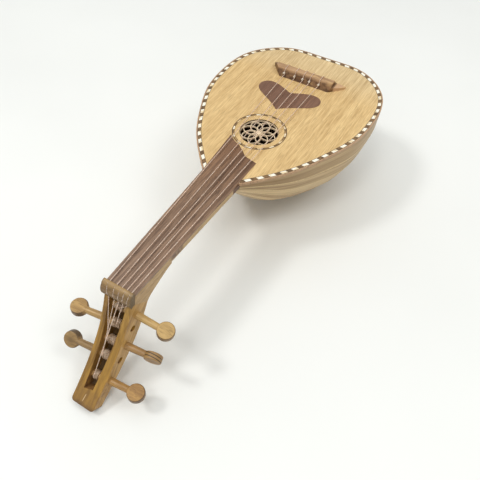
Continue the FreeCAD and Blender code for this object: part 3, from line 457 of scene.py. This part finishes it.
# material, light and dark colour, settings, and the nodes that wear it
WOODS = [
    ("soundboard_wood", (242, 210, 152), (184, 147, 92),
     dict(streak=(70.0, 1150.0), pore=0.42, contrast=1.4, gloss=0.5, relief=0.6,
          stain_and_shade=board_stain_and_shade), ["soundboard"]),
    ("binding_wood", (204, 168, 130), (150, 112, 80), dict(seed=3.0), ["edge_binding"]),
    ("line_wood", (96, 70, 42), (58, 40, 24), dict(seed=5.0), ["purfling_lines"]),
    ("ring_line_wood", (112, 84, 48), (62, 44, 26), dict(seed=6.0), ["rosette_lines"]),
    ("fret_wood", (252, 234, 206), (222, 192, 152), dict(seed=7.0), ["rosette_fretwork"]),
    ("guard_wood", (138, 100, 78), (98, 66, 48),
     dict(seed=9.0, streak=(55.0, 760.0), contrast=1.3, pore=0.4, gloss=0.42), ["pickguard"]),
    ("bridge_wood", (184, 142, 100), (110, 76, 46),
     dict(seed=11.0, matrix=CROSS, streak=(60.0, 420.0), contrast=1.6, stain_and_shade=bridge_stain),
     ["bridge"]),
    ("fingerboard_wood", (162, 128, 100), (92, 66, 48),
     dict(seed=13.0, streak=(55.0, 820.0), contrast=1.7, pore=0.8, gloss=0.46, relief=0.6,
          stain_and_shade=finger_stain), ["fingerboard"]),
    ("neck_wood", (208, 176, 128), (156, 122, 80), dict(seed=15.0, stain_and_shade=neck_stain), ["neck"]),
    ("collar_wood", (124, 92, 72), (70, 48, 36), dict(seed=17.0, gloss=0.6), ["heel_collar"]),
    ("nut_wood", (156, 122, 76), (90, 66, 38),
     dict(seed=19.0, matrix=CROSS, streak=(150.0, 700.0), contrast=1.7, pore=0.7,
          stain_and_shade=nut_painted_light), ["nut"]),
    ("rib_line_wood", (240, 218, 170), (204, 172, 120), dict(seed=21.0), ["rib_lines"]),
    ("inner_wood", (190, 150, 100), (140, 104, 66), dict(seed=23.0),
     ["neck_block", "tail_block", "lining_left", "lining_right", "brace_1", "brace_2",
      "brace_3", "brace_4"]),
    ("cap_wood", (196, 162, 116), (150, 114, 74), dict(seed=25.0), ["tail_cap"]),
    ("pegbox_wood", (210, 168, 98), (142, 100, 48),
     dict(seed=27.0, matrix=BOX, streak=(45.0, 420.0), contrast=1.4, stain_and_shade=pegbox_stain),
     ["pegbox_cheek_left", "pegbox_cheek_right", "pegbox_end_block"]),
    ("pegbox_floor_wood", (196, 156, 106), (146, 108, 66),
     dict(seed=28.0, matrix=BOX, stain_and_shade=floor_stain), ["pegbox_floor"]),
]

# material, usual and other colour, where the noise changes between them, seed, and the node
BLOCKS = [
    ("edge_light", (248, 244, 230), (232, 212, 172), 0.55, 2.0, "purfling_light_blocks"),
    ("edge_dark", (100, 76, 48), (128, 98, 62), 0.5, 4.0, "purfling_dark_blocks"),
    ("ring_light", (246, 236, 214), (222, 190, 140), 0.5, 2.6, "rosette_light_blocks"),
    ("ring_dark", (112, 86, 52), (164, 130, 84), 0.53, 4.4, "rosette_dark_blocks"),
]


def assign(material, *names):
    """The one material of these nodes, in every material slot they came with."""
    for name in names:
        data = NODES[name].data
        if not data.materials:
            data.materials.append(material)
        for index in range(len(data.materials)):
            data.materials[index] = material


def dress_nodes():
    for name, light, dark, settings, nodes in WOODS:
        assign(simple_wood(name, light, dark, **settings), *nodes)
    for name, base, other, share, seed, node in BLOCKS:
        assign(block_material(name, base, other, share, seed), node)
    assign(rib_material(), *["rib_%02d" % number for number in range(1, RIB_COUNT + 1)])
    for number, look in enumerate(PEGS, start=1):
        assign(peg_material(number, **look), "peg_%d" % number)
    nylon = nylon_material("nylon", (236, 206, 184), (252, 232, 214), 0.5)
    for number in range(1, PEG_COUNT + 1):
        assign(nylon, "string_%d" % number, "winding_%d" % number)


# ---- strings' ends ----
# The string drawn here is just thinner than the 0.30 mm radius of the CAD's strings.
COIL_STRING_R = 0.00029
KNOT_STRING_R = 0.00028
COIL_EDGE = 0.0004              # kept free at both ends of the winding's run on the peg
COIL_PITCH = 0.0004             # width a full layer would give each turn
COIL_STEPS = 14                 # points per turn
# each layer: share of a full layer's turns, radius, wobble, and where it starts and how far
# it runs, as shares of the width
COIL_LAYERS = ((0.62, 0.00308, 0.03, 0.0, 1.0), (0.42, 0.00344, 0.14, 0.09, 0.85))
KNOT_BACK = 0.0006              # a knot's centre behind the foot of the bridge's sloping front
KNOT_HEIGHT = 0.0040            # and above the soundboard
KNOT_R = 0.00062
KNOT_LENGTH = 0.0013
KNOT_TURNS = 2.0
KNOT_POINTS = 25


def tube_piece(name, runs, radius, body, material):
    """Round string along one or more smooth runs of points, as one curve with thickness."""
    data = bpy.data.curves.new(name, "CURVE")
    data.dimensions = "3D"
    data.bevel_depth = radius
    data.bevel_resolution = 3
    data.use_fill_caps = True
    data.resolution_u = 3
    for run in runs:
        spline = data.splines.new("NURBS")
        spline.points.add(len(run) - 1)
        for point, place in zip(spline.points, run):
            point.co = (place.x, place.y, place.z, 1.0)
        spline.order_u = 3
        spline.use_endpoint_u = True
    data.materials.append(material)
    piece = bpy.data.objects.new(name, data)
    bpy.context.scene.collection.objects.link(piece)
    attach(piece, body)
    return piece


def winding_coil(number, material):
    """A string's messy turns on its peg, in two layers, in place of the plain winding."""
    origin, axis = peg_axis(number)
    side = axis.cross(Vector((1, 0, 0))).normalized()
    up = axis.cross(side)
    runs = reach_along("winding_%d" % number, origin, axis)
    low, high = min(runs) + COIL_EDGE, max(runs) - COIL_EDGE
    full_turns = (high - low) / COIL_PITCH
    rng = random.Random(100 + number)
    layers = []
    for turn_share, radius, wobble, start, reach in COIL_LAYERS:
        turns = round(turn_share * full_turns) + 0.4
        count = int(turns * COIL_STEPS)
        phase = rng.uniform(0, 6.28)
        run = []
        for index in range(count + 1):
            share = index / count
            drift = wobble * (math.sin(7.0 * share + phase) + 0.5 * math.sin(17.0 * share))
            place = min(1.0, max(0.0, start + share * reach + drift))
            turn = phase + 2 * math.pi * turns * share
            around = side * math.cos(turn) + up * math.sin(turn)
            run.append(origin + axis * (low + place * (high - low)) + around * radius)
        layers.append(run)
    coil = tube_piece("coil_%d" % number, layers, COIL_STRING_R, "peg_%d" % number, material)
    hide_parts("winding_%d" % number)


def bridge_knot(number, y, material):
    """The small knot where a string turns round itself on the bridge's sloping front."""
    centre = Vector((BRIDGE_FRONT - KNOT_BACK, y, KNOT_HEIGHT))
    lean = random.Random(7 * number).uniform(-0.5, 0.5)
    run = []
    for index in range(KNOT_POINTS + 1):
        share = index / KNOT_POINTS
        turn = 2 * math.pi * KNOT_TURNS * share
        radius = KNOT_R + 0.00012 * math.sin(1.5 * turn)
        run.append(BOARD @ (centre + Vector((KNOT_LENGTH * (share - 0.5),
                                             radius * math.cos(turn + lean),
                                             radius * math.sin(turn + lean)))))
    tube_piece("knot_%d" % number, [run], KNOT_STRING_R, "root", material)


def add_string_ends():
    coil = nylon_material("nylon_coil", (176, 144, 112), (240, 216, 190), 0.35)
    for number in range(1, PEG_COUNT + 1):
        winding_coil(number, coil)
    knot = nylon_material("nylon_knot", (230, 214, 194), (254, 246, 234), 0.1)
    for number, y in enumerate(BRIDGE_Y, start=1):
        bridge_knot(number, y, knot)


# ---- camera, light and floor ----
# The camera stands above the pegbox and looks down along the neck at the body.
CAMERA_AT = Vector((0.2570, 0.1649, 0.3569))
CAMERA_FORWARD = Vector((-0.56231, -0.32734, -0.75937))
CAMERA_RIGHT = Vector((-0.52207, 0.85269, 0.01901))
SENSOR_MM = 36.0
LENS_MM = 39.8
NEAR_CLIP = 0.01

# ceiling lamps: name, horizontal over vertical distance in X and Y, diameter, power
LIGHTS = [("lamp_left", (0.404, -0.509), 0.50, 16.5),
          ("lamp_right", (-0.117, 0.646), 0.85, 8.5),
          ("lamp_front", (0.50, 0.05), 0.60, 8.5),
          ("lamp_ceiling", (0.0, 0.0), 3.0, 12.0)]
LAMP_HEIGHT = 2.2
LAMP_COLOR = (1.0, 0.99, 0.97)
WORLD_COLOR = (0.965, 0.985, 0.965, 1.0)
WORLD_STRENGTH = 0.585
FLOOR_REACH = 3.0
FLOOR_COLORS = ((0.825, 0.835, 0.82), (0.875, 0.885, 0.87))


def add_camera():
    forward = CAMERA_FORWARD.normalized()
    right = (CAMERA_RIGHT - forward * CAMERA_RIGHT.dot(forward)).normalized()
    up = right.cross(forward)
    data = bpy.data.cameras.new("camera")
    data.sensor_width = SENSOR_MM
    data.lens = LENS_MM
    data.clip_start = NEAR_CLIP
    camera = bpy.data.objects.new("camera", data)
    turn = Matrix((right, up, -forward)).transposed().to_4x4()
    camera.matrix_world = Matrix.Translation(CAMERA_AT) @ turn
    bpy.context.scene.collection.objects.link(camera)
    bpy.context.scene.camera = camera


def add_lamp(name, slope, size, power):
    data = bpy.data.lights.new(name, "AREA")
    data.shape = "DISK"
    data.size = size
    data.energy = power
    data.color = LAMP_COLOR
    lamp = bpy.data.objects.new(name, data)
    lamp.location = (slope[0] * LAMP_HEIGHT, slope[1] * LAMP_HEIGHT, LAMP_HEIGHT)
    lamp.rotation_euler = (-lamp.location).to_track_quat("-Z", "Y").to_euler()
    bpy.context.scene.collection.objects.link(lamp)


def add_floor():
    """A white satin table top."""
    reach = FLOOR_REACH
    corners = [(-reach, -reach, 0), (reach, -reach, 0), (reach, reach, 0), (-reach, reach, 0)]
    mesh = bpy.data.meshes.new("floor")
    mesh.from_pydata(corners, [], [(0, 1, 2, 3)])
    floor = bpy.data.objects.new("floor", mesh)
    bpy.context.scene.collection.objects.link(floor)
    tree = Nodes("floor_white")
    cloud = tree.cloud(tree.coords, 3.0, 3.0, 0.5)
    color = tree.mix(tree.ramp(cloud, 0.3, 0.7), *FLOOR_COLORS)
    mesh.materials.append(tree.finish(color, tree.ramp(cloud, 0.3, 0.7, 0.42, 0.5)))


def add_world():
    world = bpy.data.worlds.new("world")
    world.use_nodes = True
    background = world.node_tree.nodes["Background"]
    background.inputs["Color"].default_value = WORLD_COLOR
    background.inputs["Strength"].default_value = WORLD_STRENGTH
    bpy.context.scene.world = world
    bpy.context.scene.view_settings.view_transform = "Standard"


dress_nodes()
add_string_ends()
add_camera()
add_floor()
for name, slope, size, power in LIGHTS:
    add_lamp(name, slope, size, power)
add_world()
bpy.context.view_layer.update()
